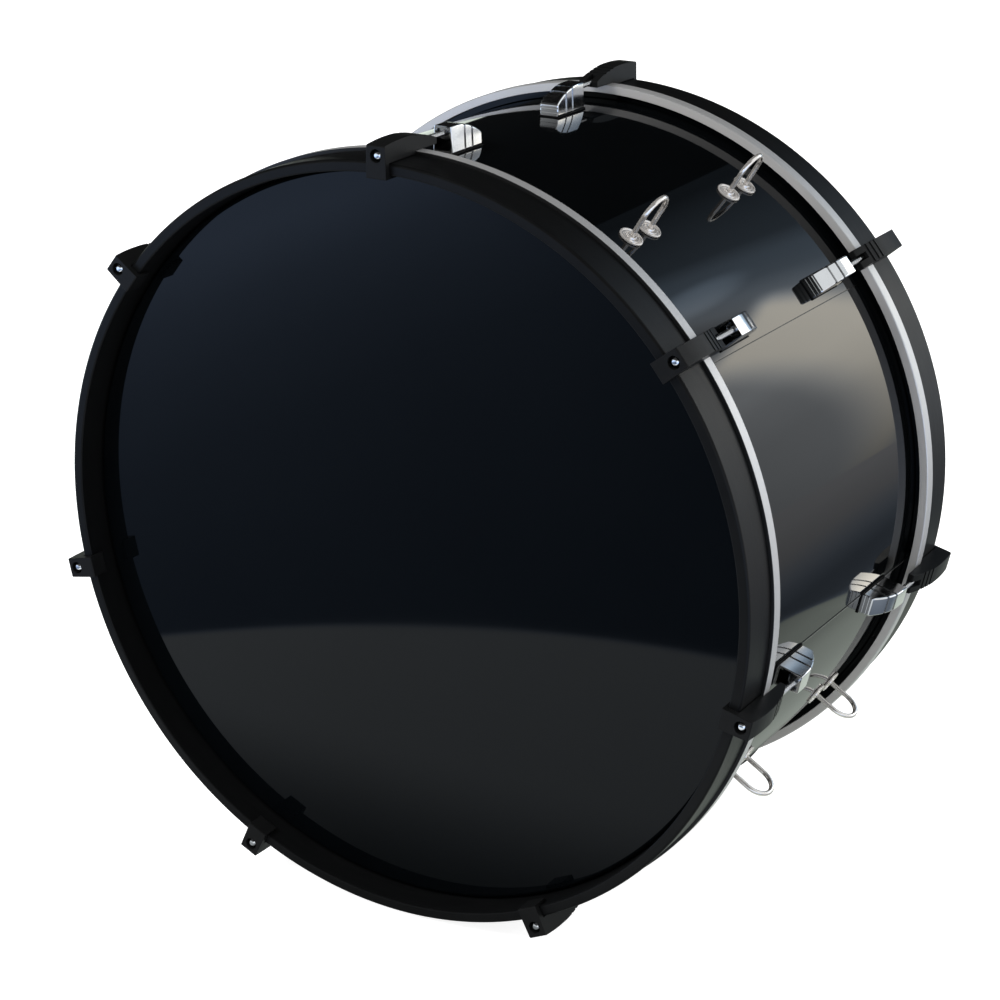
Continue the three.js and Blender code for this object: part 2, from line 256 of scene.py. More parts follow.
def turned_bar(section, steps=PEG_STEPS, centre=(0.0, ROD_CIRCLE)):
    """Solid of revolution lying along Y, from corners of (place along it, radius)."""
    stock = lathed(section, steps)
    bmesh.ops.rotate(stock, verts=stock.verts, cent=ORIGIN,
                     matrix=Matrix.Rotation(-QUARTER_TURN, 3, "X"))
    bmesh.ops.translate(stock, verts=stock.verts, vec=(centre[0], 0, centre[1]))
    bmesh.ops.recalc_face_normals(stock, faces=stock.faces)
    return stock


def lathed(section, steps):
    """Skin of revolution about Z, its poles closed."""
    stock = bmesh.new()
    heights = [stock.verts.new((radius, 0, height)) for height, radius in section]
    for one, two in zip(heights, heights[1:]):
        stock.edges.new((one, two))
    spun(stock, (0, 0, 1), steps)
    bmesh.ops.remove_doubles(stock, verts=stock.verts, dist=MERGE)
    return stock


def bar(radius, start, end, sides=PEG_STEPS, centre=(0.0, ROD_CIRCLE)):
    """Round bar along Y from one place to another."""
    return turned_bar([(start, 0.0), (start, radius), (end, radius), (end, 0.0)], sides, centre)


def block(low, high):
    """Box between two corners."""
    stock = bmesh.new()
    size = [top - bottom for bottom, top in zip(low, high)]
    middle = [(top + bottom) / 2 for bottom, top in zip(low, high)]
    bmesh.ops.create_cube(stock, size=1.0)
    bmesh.ops.scale(stock, verts=stock.verts, vec=size)
    bmesh.ops.translate(stock, verts=stock.verts, vec=middle)
    return stock


def carved(stock, tools, operation="DIFFERENCE"):
    """The stock with each tool cut away from it, joined to it or crossed with it."""
    body = loose(stock, "stock")
    cutters = [loose(tool, "tool") for tool in tools]
    for cutter in cutters:
        cut = body.modifiers.new("cut", "BOOLEAN")
        cut.operation = operation
        cut.solver = "EXACT"
        cut.object = cutter
    seen = body.evaluated_get(bpy.context.evaluated_depsgraph_get())
    result = bmesh.new()
    result.from_mesh(seen.to_mesh())
    seen.to_mesh_clear()
    for item in [body] + cutters:
        mesh = item.data
        bpy.data.objects.remove(item)
        bpy.data.meshes.remove(mesh)
    bmesh.ops.remove_doubles(result, verts=result.verts, dist=MERGE_CUT)
    return result


def seat(angle, end, along=0.0):
    """Where a piece drawn at the top of the front end goes."""
    turn = Matrix.Rotation(HALF_TURN if end == "rear" else 0.0, 4, "Z")
    lift = Matrix.Translation((0, along * MILLIMETRE, AXIS_HEIGHT * MILLIMETRE))
    round_axis = Matrix.Rotation(TOP - angle, 4, "Y")
    return lift @ round_axis @ turn @ Matrix.Scale(MILLIMETRE, 4)


def piece(name, pattern, place, finish, slot, body, *nodes):
    """One piece of the drum in its place, riding on its body and standing for its CAD nodes."""
    mesh = pattern.copy()
    mesh.name = name
    mesh.transform(place)
    mesh.materials.clear()
    mesh.materials.append(finish)
    thing = bpy.data.objects.new(name, mesh)
    bpy.context.scene.collection.objects.link(thing)
    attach(thing, body)
    if nodes:
        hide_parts(*nodes)


# ---------------------------------------------------------------- finishes

class Reading:
    """A number that changes over a surface. Sums on it add Math nodes."""

    def __init__(self, finish, socket):
        self.finish = finish
        self.socket = socket

    def sum_of(self, operation, one, two):
        return self.finish.reading("ShaderNodeMath", {"operation": operation}, {0: one, 1: two})

    def __add__(self, other):
        return self.sum_of("ADD", self, other)

    def __radd__(self, other):
        return self.sum_of("ADD", other, self)

    def __sub__(self, other):
        return self.sum_of("SUBTRACT", self, other)

    def __rsub__(self, other):
        return self.sum_of("SUBTRACT", other, self)

    def __mul__(self, other):
        return self.sum_of("MULTIPLY", self, other)

    def __rmul__(self, other):
        return self.sum_of("MULTIPLY", other, self)

    def size(self):
        """The number without its sign."""
        return self.sum_of("ABSOLUTE", self, 0.0)

    def root(self):
        return self.sum_of("SQRT", self, 0.0)


class Finish:
    """A procedural material or world, built node by node."""

    def __init__(self, owner):
        owner.use_nodes = True
        self.owner = owner
        self.tree = owner.node_tree

    def node(self, kind, settings=None, inputs=None):
        made = self.tree.nodes.new(kind)
        for key, value in (settings or {}).items():
            setattr(made, key, value)
        for key, value in (inputs or {}).items():
            self.feed(made.inputs[key], value)
        return made

    def feed(self, socket, value):
        if isinstance(value, Reading):
            value = value.socket
        if isinstance(value, bpy.types.NodeSocket):
            self.tree.links.new(value, socket)
        else:
            socket.default_value = value

    def reading(self, kind, settings=None, inputs=None):
        return Reading(self, self.node(kind, settings, inputs).outputs[0])

    def ramp(self, factor, stops):
        made = self.node("ShaderNodeValToRGB", None, {"Fac": factor})
        band = made.color_ramp
        while len(band.elements) < len(stops):
            band.elements.new(1.0)
        for element, (place, colour) in zip(band.elements, stops):
            element.position = place
            element.color = (*colour, 1.0)
        return made.outputs["Color"]

    def blend(self, factor, one, two):
        """Colour that goes from one to two as the factor goes from 0 to 1."""
        made = self.node("ShaderNodeMix", {"data_type": "RGBA"})
        share, first, second = made.inputs[0], made.inputs[6], made.inputs[7]
        self.feed(share, factor)
        self.feed(first, one)
        self.feed(second, two)
        return made.outputs[2]

    def split(self, where):
        """The three readings of a place or a direction."""
        parts = self.node("ShaderNodeSeparateXYZ", None, {0: where})
        return [Reading(self, parts.outputs[axis]) for axis in range(3)]

    def places(self):
        """Object coordinates, whole and as three readings."""
        where = self.node("ShaderNodeTexCoord").outputs["Object"]
        return where, self.split(where)

    def ranged(self, value, low, high, settings=None, to_low=0.0, to_high=1.0):
        return self.reading("ShaderNodeMapRange", settings,
                            {"Value": value, "From Min": low, "From Max": high,
                             "To Min": to_low, "To Max": to_high})

    def eased(self, value, low, high, to_low=0.0, to_high=1.0):
        """A reading that goes softly from one level to another between two values."""
        return self.ranged(value, low, high, {"interpolation_type": "SMOOTHSTEP"}, to_low, to_high)

    def curve(self, value, stops):
        """A reading that goes straight from stop to stop of (value, result)."""
        low, high = stops[0][0], stops[-1][0]
        peak = max(result for _, result in stops)
        share = self.ranged(value, low, high)
        levels = [((place - low) / (high - low), (result / peak,) * 3) for place, result in stops]
        return Reading(self, self.ramp(share, levels)) * peak

    def grain(self, where, scale, detail=3.0, roughness=0.5):
        return self.reading("ShaderNodeTexNoise", None, {"Vector": where, "Scale": scale,
                                                         "Detail": detail, "Roughness": roughness})

    def bump(self, height, strength, distance):
        return self.node("ShaderNodeBump", None, {"Height": height, "Strength": strength,
                                                  "Distance": distance}).outputs[0]


def painted(name, **uniform):
    """A named material and its Principled shader with the values that are the same all over."""
    material = bpy.data.materials.new(name)
    finish = Finish(material)
    shader = finish.tree.nodes["Principled BSDF"]
    for key, value in uniform.items():
        finish.feed(shader.inputs[key.replace("_", " ")], value)
    return finish, shader


def surfaced(finish, shader, colour, roughness, normal):
    """Feeds what changes over a surface to its shader and gives the material."""
    finish.feed(shader.inputs["Base Color"], colour)
    finish.feed(shader.inputs["Roughness"], roughness)
    finish.feed(shader.inputs["Normal"], normal)
    return finish.owner


def grey(level, warm=0.0):
    """Linear colour of one grey, warmer or, below zero, bluer."""
    return (level * (1 + warm), level, level * (1 - warm), 1.0)


def distance(across, up):
    """Length of the straight line over two distances at right angles."""
    return (across * across + up * up).root()


def above_axis(axes):
    return axes[2] - AXIS_HEIGHT * MILLIMETRE


def round_angle(finish, axes):
    """Angle round the drum's axis in degrees, 0 on the right and 90 at the top."""
    turn = {0: above_axis(axes), 1: axes[0]}
    return finish.reading("ShaderNodeMath", {"operation": "ARCTAN2"}, turn) * DEGREES


# Joints of the wrap, in degrees round the shell, and how far they turn in a metre along it
UPPER_SEAM = 35.8
LOWER_SEAM = -11.2
# Where the painted highlight beside the lower seam lies
LOWER_SEAM_PAINTED_HIGHLIGHT = -11.5
SEAM_TURN = 1.6
UPPER_SEAM_FADE = (0.03, 0.1, 0.45, 1.0)
LOWER_SEAM_FADE = (0.15, 0.25)
SEAM_PAINTED_HIGHLIGHT_FADE = (0.04, 0.14)

# Rolled thread of a rod, in metres: its pitch, and where along the axis it ends
THREAD_PITCH = 0.001058
THREAD_END = (0.144, 0.1455)

# Gloss black and satin black, as linear levels
WRAP_DEEP, WRAP_PALE, WRAP_JOINT = 0.0008, 0.0016, 0.0001
FILM_DEEP, FILM_PALE = 0.0006, 0.0012
LACQUER_DEEP, LACQUER_PALE = 0.0015, 0.0035
STRUCK_PATCH = (0.03, 0.16)


def shell_wrap():
    """Black high-gloss wrap with two butt seams along the shell, the lower with a painted highlight
    beside it.
    """
    finish, shader = painted("shell_wrap_gloss_black", IOR=1.25)
    where, axes = finish.places()
    along_seams = round_angle(finish, axes) + axes[1] * SEAM_TURN
    upper = finish.eased((along_seams - UPPER_SEAM).size(), *UPPER_SEAM_FADE)
    lower = finish.eased((along_seams - LOWER_SEAM).size(), *LOWER_SEAM_FADE)
    seam = 1 - upper * lower
    # A pale line painted into the colour beside the lower seam: a painted highlight.
    light = 1 - finish.eased((along_seams - LOWER_SEAM_PAINTED_HIGHLIGHT).size(), *SEAM_PAINTED_HIGHLIGHT_FADE)
    deep = finish.blend(finish.grain(where, 6.0), grey(WRAP_DEEP, -0.2), grey(WRAP_PALE, -0.2))
    lined = finish.blend(seam, deep, grey(WRAP_JOINT))
    stretched = finish.node("ShaderNodeMapping", None, {"Vector": where, "Scale": (1.0, 0.25, 1.0)})
    waves = finish.grain(stretched.outputs[0], 9.0, 1.0)
    return surfaced(finish, shader, finish.blend(light, lined, grey(0.05)),
                    finish.grain(where, 30.0) * 0.03 + 0.025 + seam * 0.5,
                    finish.bump(waves - seam * 0.2, 0.25, 0.0008))


def hoop_lacquer():
    """Satin black lacquer over a bent wooden hoop, its plies faintly showing."""
    finish, shader = painted("hoop_satin_black", IOR=1.2)
    where, axes = finish.places()
    angle = round_angle(finish, axes)
    spot = finish.node("ShaderNodeCombineXYZ", None, {"X": angle * 0.06, "Y": axes[1] * 60.0})
    ply = finish.grain(spot.outputs[0], 3.0, 5.0, 0.65)
    speck = finish.grain(where, 420.0, 2.0)
    return surfaced(finish, shader,
                    finish.blend(ply, grey(LACQUER_DEEP, -0.05), grey(LACQUER_PALE, -0.05)),
                    0.27 + ply * 0.14 + speck * 0.05,
                    finish.bump(ply + speck * 0.5, 0.2, 0.0003))


def flesh_hoop_metal():
    """Rolled aluminium: brushed outside, matt sides, and a black band of painted shade where it
    meets the counterhoop.
    """
    finish, shader = painted("flesh_hoop_aluminium")
    where, axes = finish.places()
    reach = distance(axes[0], above_axis(axes))
    outside = finish.eased(reach, (FLESH_OUTER - 1.5) * MILLIMETRE,
                           (FLESH_OUTER - 0.5) * MILLIMETRE)
    # The side that meets the counterhoop is painted black: painted shade of the gap between the two
    # hoops.
    meeting = HOOP_FACE - FLESH_FROM
    painted_gap_shade = finish.eased(axes[1].size(), (meeting - 0.6) * MILLIMETRE,
                         (meeting - 0.25) * MILLIMETRE)
    angle = round_angle(finish, axes)
    spot = finish.node("ShaderNodeCombineXYZ", None, {"X": angle * 0.04, "Y": axes[1] * 900.0})
    brush = finish.grain(spot.outputs[0], 2.0, 4.0, 0.7)
    side = finish.blend(brush, finish.blend(finish.grain(where, 14.0), grey(0.48), grey(0.58)),
                        grey(0.44))
    bright = finish.blend(outside, grey(0.5, 0.02), side)
    finish.feed(shader.inputs["Metallic"], (0.62 + outside * 0.14) * (1 - painted_gap_shade))
    return surfaced(finish, shader, finish.blend(painted_gap_shade, bright, grey(0.003)),
                    0.38 + brush * 0.16, finish.bump(brush, 0.12, 0.0002))


def head_film():
    """Gloss black film, drawn tight, with the faintest unevenness and a duller struck patch."""
    finish, shader = painted("head_film_gloss_black", IOR=1.25)
    where, axes = finish.places()
    mottle = finish.grain(where, 5.0)
    struck = 1 - finish.eased(distance(axes[0], above_axis(axes)), *STRUCK_PATCH)
    tone = finish.blend(mottle, grey(FILM_DEEP, -0.3), grey(FILM_PALE, -0.3))
    return surfaced(finish, shader, tone, 0.035 + mottle * 0.02 + struck * 0.012,
                    finish.bump(finish.grain(where, 3.2, 1.0), 0.2, 0.001))


def cast_paint(name, level, roughness):
    """Black paint on a casting: fine orange peel, and random patches a shade greyer from handling.
    """
    finish, shader = painted(name, IOR=1.2)
    where, _ = finish.places()
    peel = finish.grain(where, 900.0, 2.0)
    rub = finish.grain(where, 60.0, 4.0, 0.6)
    tone = finish.blend(rub, grey(level, -0.03), grey(level * 1.7, -0.03))
    return surfaced(finish, shader, tone, roughness + rub * 0.12, finish.bump(peel, 0.25, 0.0002))


def plated(name, light, metallic, roughness, warm=0.0):
    """Bright plating over a casting or wire: soft clouding and fine polishing marks."""
    finish, shader = painted(name, Metallic=metallic)
    where, _ = finish.places()
    cloud = finish.grain(where, 45.0)
    marks = finish.grain(where, 700.0, 3.0, 0.6)
    tone = finish.blend(cloud, grey(light * 0.86, warm), grey(light, warm))
    return surfaced(finish, shader, tone, roughness + cloud * 0.06 + marks * 0.04,
                    finish.bump(marks + cloud, 0.1, 0.0002))


def threaded():
    """Bright rod with a fine rolled thread on the part that screws into the lug."""
    finish, shader = painted("rod_bright_steel", Metallic=1.0)
    where, axes = finish.places()
    turns = {0: axes[1] * (1 / THREAD_PITCH), 1: 0.5}
    ridge = finish.reading("ShaderNodeMath", {"operation": "PINGPONG"}, turns)
    rolled = finish.eased(axes[1].size(), *THREAD_END, 1.0, 0.0)
    cloud = finish.grain(where, 80.0)
    return surfaced(finish, shader, finish.blend(cloud, grey(0.66), grey(0.8)),
                    0.1 + cloud * 0.08, finish.bump(ridge * rolled, 0.8, 0.0006))


# ---------------------------------------------------------------- masters

def shell_mesh():
    """The shell: turned tube with rounded bearing edges and the vent's hole through its wall."""
    half = SHELL_LENGTH / 2
    inner = SHELL_RADIUS - SHELL_WALL
    corners = [(-half, SHELL_RADIUS, BEARING_ROUND), (half, SHELL_RADIUS, BEARING_ROUND),
               (half, inner, BEARING_INNER_ROUND), (-half, inner, BEARING_INNER_ROUND)]
    hole = bar(VENT_HOLE, -HOLE_REACH, HOLE_REACH, VENT_STEPS, (0.0, 0.0))
    bmesh.ops.rotate(hole, verts=hole.verts, cent=ORIGIN,
                     matrix=Matrix.Rotation(QUARTER_TURN, 3, "Z"))
    bmesh.ops.translate(hole, verts=hole.verts, vec=(-SHELL_RADIUS, 0, 0))
    return finished(carved(spun_ring(corners), [hole]), "shell_wall")


def counterhoop_mesh():
    """Wooden counterhoop with rounded front edges."""
    front, back = depth(0.0), depth(HOOP_DEPTH)
    corners = [(front, HOOP_BORE, 1.5), (front, HOOP_OUTER, 2.6), (back, HOOP_OUTER, 0.9),
               (back, HOOP_BORE, 0.6)]
    return finished(spun_ring(corners), "counterhoop")


def flesh_hoop_mesh():
    """Aluminium channel round the rim of the head."""
    front, back = depth(FLESH_FROM), depth(FLESH_TO)
    slot, slot_back = depth(SLOT_FROM), depth(SLOT_TO)
    corners = [(front, FLESH_LIP, 0.3), (front, FLESH_OUTER, 0.6), (back, FLESH_OUTER, 1.2),
               (back, FLESH_INNER, 0.4), (slot_back, FLESH_INNER, 0.2),
               (slot_back, SLOT_BOTTOM, 0.1), (slot, SLOT_BOTTOM, 0.1), (slot, FLESH_LIP, 0.2)]
    return finished(spun_ring(corners), "flesh_hoop")


def head_mesh():
    """Film drawn over the shell's edge, down its side and into the channel of the flesh hoop."""
    face, flange = depth(HEAD_DEPTH), depth(FLANGE_FROM)
    inner = SHELL_RADIUS + SEAT_GAP
    corners = [(face, 0.0, 0.0), (face, inner + FILM, BEARING_ROUND), (flange, inner + FILM, 0.4),
               (flange, FLANGE_OUTER, 0.0), (flange + FILM, FLANGE_OUTER, 0.0),
               (flange + FILM, inner, 0.6), (face + FILM, inner, BEARING_ROUND - 0.4),
               (face + FILM, 0.0, 0.0)]
    stock = outlined(corners)
    on_axis = [edge for edge in stock.edges if all(vert.co.z < MERGE for vert in edge.verts)]
    bmesh.ops.delete(stock, geom=on_axis, context="EDGES")
    spun(stock, (0, 1, 0), RING_STEPS)
    bmesh.ops.remove_doubles(stock, verts=stock.verts, dist=MERGE)
    bmesh.ops.recalc_face_normals(stock, faces=stock.faces)
    return finished(stock, "head_film_face")


def claw_mesh():
    """Die-cast claw: face and lip in front of the hoop, arched ribbed back, forked tail."""
    lip, lip_top = CLAW_LIP
    over_hoop, mouth, step = CLAW_OVER_HOOP
    face, tail, lip_end = depth(CLAW_FACE), depth(CLAW_REACH), depth(CLAW_LIP_DEPTH)
    corners = [(face, lip, 1.4), (lip_end, lip, 0.5), (lip_end, lip_top, 0.5),
               (depth(mouth), lip_top, 0.0), (depth(mouth), over_hoop, 0.0),
               (depth(step), over_hoop, 0.0), (depth(step), CLAW_OVER_FLESH, 0.0),
               (tail, CLAW_OVER_FLESH, 0.4), (tail, CLAW_TAIL, 0.8),
               (depth(CLAW_BOW), CLAW_OUTER, 20.0), (depth(CLAW_CREST), CLAW_OUTER, 8.0),
               (face, CLAW_NOSE, 1.5)]
    stock = slab(corners, CLAW_WIDTH, 1.0, 3)
    for vert in stock.verts:
        if vert.co.z > ROD_CIRCLE:
            vert.co.x *= 1 - CLAW_LEAN * (vert.co.z - ROD_CIRCLE) / (CLAW_OUTER - ROD_CIRCLE)
    return finished(carved(stock, claw_tools(face, tail)), "claw")


def claw_tools(face, tail):
    """What is cut out of a claw: rod hole, counterbore, countersink, fork and back grooves."""
    bore, bore_depth = CLAW_COUNTERBORE
    fork, fork_from = CLAW_FORK
    half, cut = CLAW_GROOVE
    tools = [bar(ROD_RADIUS + 0.3, face - 1, tail + 1, 24), bar(bore, face - 1, face + bore_depth),
             turned_bar([(face - 1, 0.0), (face - 1, 6.8), (face + 0.5, 5.3), (face + 0.5, 0.0)]),
             block((-fork, depth(fork_from), ROD_CIRCLE), (fork, tail + 1, CLAW_OUTER + 1))]
    for middle, surface in CLAW_GROOVES:
        tools.append(block((-CLAW_PAST, depth(middle - half), surface - cut),
                           (CLAW_PAST, depth(middle + half), CLAW_OUTER + 1)))
    return tools


def rod_mesh():
    """Key rod: crowned square head, shank and rolled thread."""
    back, end = depth(ROD_COLLAR), depth(ROD_END)
    shank = turned_bar([(back - COLLAR_THICK, 0.0), (back - COLLAR_THICK, 2.6),
                        (depth(ROD_END - 0.9), 2.6), (end, 1.9), (end, 0.0)])
    half = KEY_SQUARE / 2
    tip = back - 5.6
    head = block((-half, tip, ROD_CIRCLE - half), (half, back - 1.0, ROD_CIRCLE + half))
    crown = turned_bar([(tip, 0.0), (tip, 1.7), (tip + 0.25, 2.4), (tip + 1.5, 4.0),
                        (tip + 2.2, 4.4), (back, 4.4), (back, 0.0)])
    square = carved(head, [crown], "INTERSECT")
    return finished(carved(shank, [square], "UNION"), "tension_rod")


def collar_mesh():
    """Black washer under the head of a key rod, at the bottom of the claw's hole: partly a real
    washer, partly painted shade that darkens the hole.
    """
    back = depth(COLLAR_BACK)
    front = back - COLLAR_THICK
    section = [(front, 2.7), (front, 4.5), (back - 1.4, 4.9), (back, 4.9), (back, 2.7),
               (front, 2.7)]
    return finished(turned_bar(section), "rod_washer")


def lug_profile(inset, start, base, rounding):
    """Side view of a lug, or of what lies a wall's thickness inside it."""
    bow_from, bow_round = LUG_BOW
    far = depth(LUG_MOUTH + LUG_LENGTH) - inset
    bow = (depth(LUG_MOUTH + bow_from) + far) / 2
    return [(start, base, 0.0), (far, base, 0.0), (far, LUG_FAR_TOP - inset, rounding),
            (bow, LUG_TOP - inset, bow_round), (start, LUG_TOP - inset, 0.0)]


def lug_mesh():
    """Hollow cast lug: bowed back, two wrap-round grooves, open mouth towards the hoop."""
    start = depth(LUG_MOUTH)
    far = start + LUG_LENGTH
    half, cut = LUG_GROOVE
    body = slab(lug_profile(0.0, start, LUG_BASE, 1.6), LUG_WIDTH, 1.5, 3)
    core = slab(lug_profile(cut, start - 3, LUG_BASE - 3, 0.6), LUG_WIDTH - 2 * cut, 1.1)
    low, high = LUG_BASE - 1, LUG_TOP + 2
    bands = [block((-LUG_PAST, far - back - half, low), (LUG_PAST, far - back + half, high))
             for back in LUG_GROOVES]
    grooves = carved(carved(bands[0], bands[1:], "UNION"), [core])
    hollow = slab(lug_profile(LUG_WALL, start - 3, LUG_BASE + LUG_FLOOR, 0.0),
                  LUG_WIDTH - 2 * LUG_WALL, 1.0)
    for part in (body, hollow, grooves):
        drafted(part)
    half, cut = LUG_BAR
    bars = [block((-LUG_PAST, far - cut, height - half), (LUG_PAST, far + 1, height + half))
            for height in LUG_BARS]
    return finished(carved(body, [grooves, hollow] + bars), "lug_casting")


def drafted(stock):
    """Leans the sides of a lug in a little towards its top."""
    for vert in stock.verts:
        vert.co.x *= 1 - LUG_LEAN * (vert.co.z - LUG_BASE) / (LUG_TOP - LUG_BASE)


def gasket_mesh():
    """Thin black gasket between the lug and the shell."""
    start = depth(LUG_MOUTH - GASKET_MARGIN)
    far = depth(LUG_MOUTH + LUG_LENGTH + GASKET_MARGIN)
    corners = [(start, GASKET_BASE, 0.0), (far, GASKET_BASE, 0.0), (far, LUG_BASE, 0.3),
               (start, LUG_BASE, 0.3)]
    return finished(slab(corners, LUG_WIDTH + 2 * GASKET_MARGIN, 0.3), "lug_gasket")


def nut_mesh():
    """Captive nut in the lug's mouth, flanged at its front."""
    front = depth(LUG_MOUTH + NUT_INSET)
    section = [(front, 2.75), (front, 5.6), (front + 0.5, 6.2), (front + 2.0, 6.2),
               (front + 2.4, 4.7), (front + 5.5, 4.7), (front + 6.0, 5.4), (front + 8.0, 5.4),
               (front + 8.5, 4.7), (front + 16.0, 4.7), (front + 16.0, 2.75), (front, 2.75)]
    return finished(turned_bar(section), "lug_nut")


def screw_mesh(place):
    """Post through the shell's wall with its screw head inside."""
    inside = SHELL_INSIDE
    section = [(inside - 2.8, 0.0), (inside - 2.8, 4.4), (inside - 1.6, 5.5), (inside, 5.5),
               (inside, 3.0), (LUG_BASE + 1.2, 3.0), (LUG_BASE + 1.2, 0.0)]
    return finished(turned_peg(section, 24, (0.0, depth(place))), "lug_screw")


def loop_mesh():
    """Bent wire: up one leg, over a half circle and down the other leg."""
    stock = bmesh.new()
    bmesh.ops.create_circle(stock, cap_ends=True, radius=WIRE_RADIUS, segments=20)
    bmesh.ops.translate(stock, verts=stock.verts, vec=(0, -LOOP_HALF_SPAN, LOOP_FOOT))
    bmesh.ops.recalc_face_normals(stock, faces=stock.faces)
    tip = grown_end(stock, stock.faces[:], LOOP_SPRING - LOOP_FOOT)
    bend = bmesh.ops.spin(stock, geom=tip, cent=(0, 0, LOOP_SPRING), axis=(-1, 0, 0),
                          angle=HALF_TURN, steps=28)
    end = [item for item in bend["geom_last"] if isinstance(item, bmesh.types.BMFace)]
    bmesh.ops.delete(stock, geom=tip, context="FACES_ONLY")
    grown_end(stock, end, LOOP_FOOT - LOOP_SPRING)
    bmesh.ops.remove_doubles(stock, verts=stock.verts, dist=MERGE_WIRE)
    bmesh.ops.recalc_face_normals(stock, faces=stock.faces)
    return finished(stock, "loop_wire")


def grown_end(stock, faces, rise):
    """Extrudes a cap straight up or down and gives the new cap."""
    grown = bmesh.ops.extrude_face_region(stock, geom=faces)
    moved = [item for item in grown["geom"] if isinstance(item, bmesh.types.BMVert)]
    bmesh.ops.translate(stock, verts=moved, vec=(0, 0, rise))
    return [item for item in grown["geom"] if isinstance(item, bmesh.types.BMFace)]


def washer_mesh():
    """Cupped flange washer with a raised rim and a small collar round the wire."""
    base = WASHER_BASE
    section = [(base, WIRE_HOLE), (base, 10.2), (base + 0.5, WASHER_RADIUS),
               (base + 1.6, WASHER_RADIUS), (base + 2.2, 10.3), (base + 2.2, 9.5),
               (base + 1.2, 8.8), (base + 1.2, 7.6), (base + 1.9, 7.2), (base + 1.9, 6.4),
               (base + 1.0, 6.0), (base + 1.0, 5.0), (base + 2.7, 4.3), (base + 2.9, 3.4),
               (base + 2.5, WIRE_HOLE), (base, WIRE_HOLE)]
    return finished(turned_peg(section, 40), "loop_washer")


def loop_nut_mesh():
    """Hexagon nut on the foot of a loop, inside the shell."""
    inside = SHELL_INSIDE
    section = [(inside - 5.0, WIRE_HOLE), (inside - 5.0, 6.3), (inside, 6.3), (inside, WIRE_HOLE),
               (inside - 5.0, WIRE_HOLE)]
    return finished(turned_peg(section, 6), "loop_nut")


def vent_mesh():
    """Rolled grommet: barrel through the wall with a flange on each side."""
    inside, outside = SHELL_INSIDE, SHELL_RADIUS
    section = [(inside - 1.8, 5.0), (inside - 1.8, 9.6), (inside - 1.0, 11.0), (inside, 11.0),
               (inside, 6.6), (outside, 6.6), (outside, 10.6), (outside + 0.5, 11.0),
               (outside + 1.1, 10.6), (outside + 1.8, 8.4), (outside + 1.9, 6.8),
               (outside + 1.4, 5.4), (outside + 0.6, 5.0), (inside - 1.8, 5.0)]
    return finished(turned_peg(section, VENT_STEPS), "vent_grommet_ring")


# ---------------------------------------------------------------- assembly

def add_rings(finishes):
    """Shell, hoops, flesh hoops and heads."""
    whole = seat(TOP, "front")
    piece("shell_tube", shell_mesh(), whole, finishes["wrap"], "shell_wrap", "drum", "shell")
    hoop, flesh, head = counterhoop_mesh(), flesh_hoop_mesh(), head_mesh()
    for end in ENDS:
        place = seat(TOP, end)
        piece(f"hoop_{end}", hoop, place, finishes["hoop"], "hoop_lacquer", "drum",
              f"counterhoop_{end}")
        piece(f"rim_{end}", flesh, place, finishes["flesh"], "flesh_hoop_metal", "drum",
              f"flesh_hoop_{end}")
        piece(f"head_{end}", head, place, finishes["film"], "head_film", "drum",
              f"head_film_{end}")


def add_stations(finishes):
    """Lugs, claws and rods at the seven stations of each end."""
    lug, gasket, nut = lug_mesh(), gasket_mesh(), nut_mesh()
    screws = [screw_mesh(LUG_MOUTH + POST_INSET), screw_mesh(LUG_MOUTH + LUG_LENGTH - POST_INSET)]
    claw, rod, collar = claw_mesh(), rod_mesh(), collar_mesh()
    for end in ENDS:
        for index in range(STATIONS):
            tag = f"{end}_{index + 1}"
            place = seat(TOP + index * STATION_STEP, end)
            for kind, pattern, finish, slot in (("casting", lug, "lug", "lug_chrome"),
                                                ("gasket", gasket, "gasket", "claw_paint"),
                                                ("nut", nut, "rod", "rod_chrome")):
                piece(f"lug_{kind}_{tag}", pattern, place, finishes[finish], slot, "drum",
                      f"lug_{tag}")
            for letter, screw in zip("ab", screws):
                piece(f"lug_screw_{tag}_{letter}", screw, place, finishes["rod"], "rod_chrome",
                      "drum", f"lug_{tag}")
            hooked = f"claw_{tag}"
            piece(f"claw_hook_{tag}", claw, place, finishes["claw"], "claw_paint", hooked, hooked)
            turning = f"tension_rod_{tag}"
            piece(f"key_rod_{tag}", rod, place, finishes["rod"], "rod_chrome", turning, turning)
            piece(f"rod_washer_{tag}", collar, place, finishes["collar"], "claw_paint", turning,
                  turning)


def add_loops(finishes):
    """Carry loops, two above each other near each end."""
    wire, washer, nut = loop_mesh(), washer_mesh(), loop_nut_mesh()
    for name, angle in (("upper", CARRY_SIDE + LOOP_SPREAD), ("lower", CARRY_SIDE - LOOP_SPREAD)):
        for end, side in (("front", -1), ("rear", 1)):
            tag = f"{name}_{end}"
            node = f"carry_loop_{tag}"
            piece(f"loop_wire_{tag}", wire, seat(angle, "front", side * LOOP_PLACE),
                  finishes["loop"], "loop_chrome", "drum", node)
            for letter, leg in (("a", -1), ("b", 1)):
                place = seat(angle, "front", side * LOOP_PLACE + leg * LOOP_HALF_SPAN)
                piece(f"loop_washer_{tag}_{letter}", washer, place, finishes["washer"],
                      "loop_chrome", "drum", node)
                piece(f"loop_nut_{tag}_{letter}", nut, place, finishes["loop"], "loop_chrome",
                      "drum", node)


def add_vent(finishes):
    piece("vent_ring", vent_mesh(), seat(VENT_ANGLE, "front"), finishes["vent"], "vent_chrome",
          "drum", "vent_grommet")


# ---------------------------------------------------------------- studio
#
# The gloss black shows its surroundings, so glossy surfaces see a ground, a wall and a world
# that are shaped for them. Places are in metres. An easing is (from, to, level before, level
# after), and a table goes straight from pair to pair of (place, level).

DRUM_MIDDLE = (0, 0, 0.35)
FLOOR_WIDTH = 120
GROUND_WIDTH = 60
GROUND_HEIGHT = -0.0005

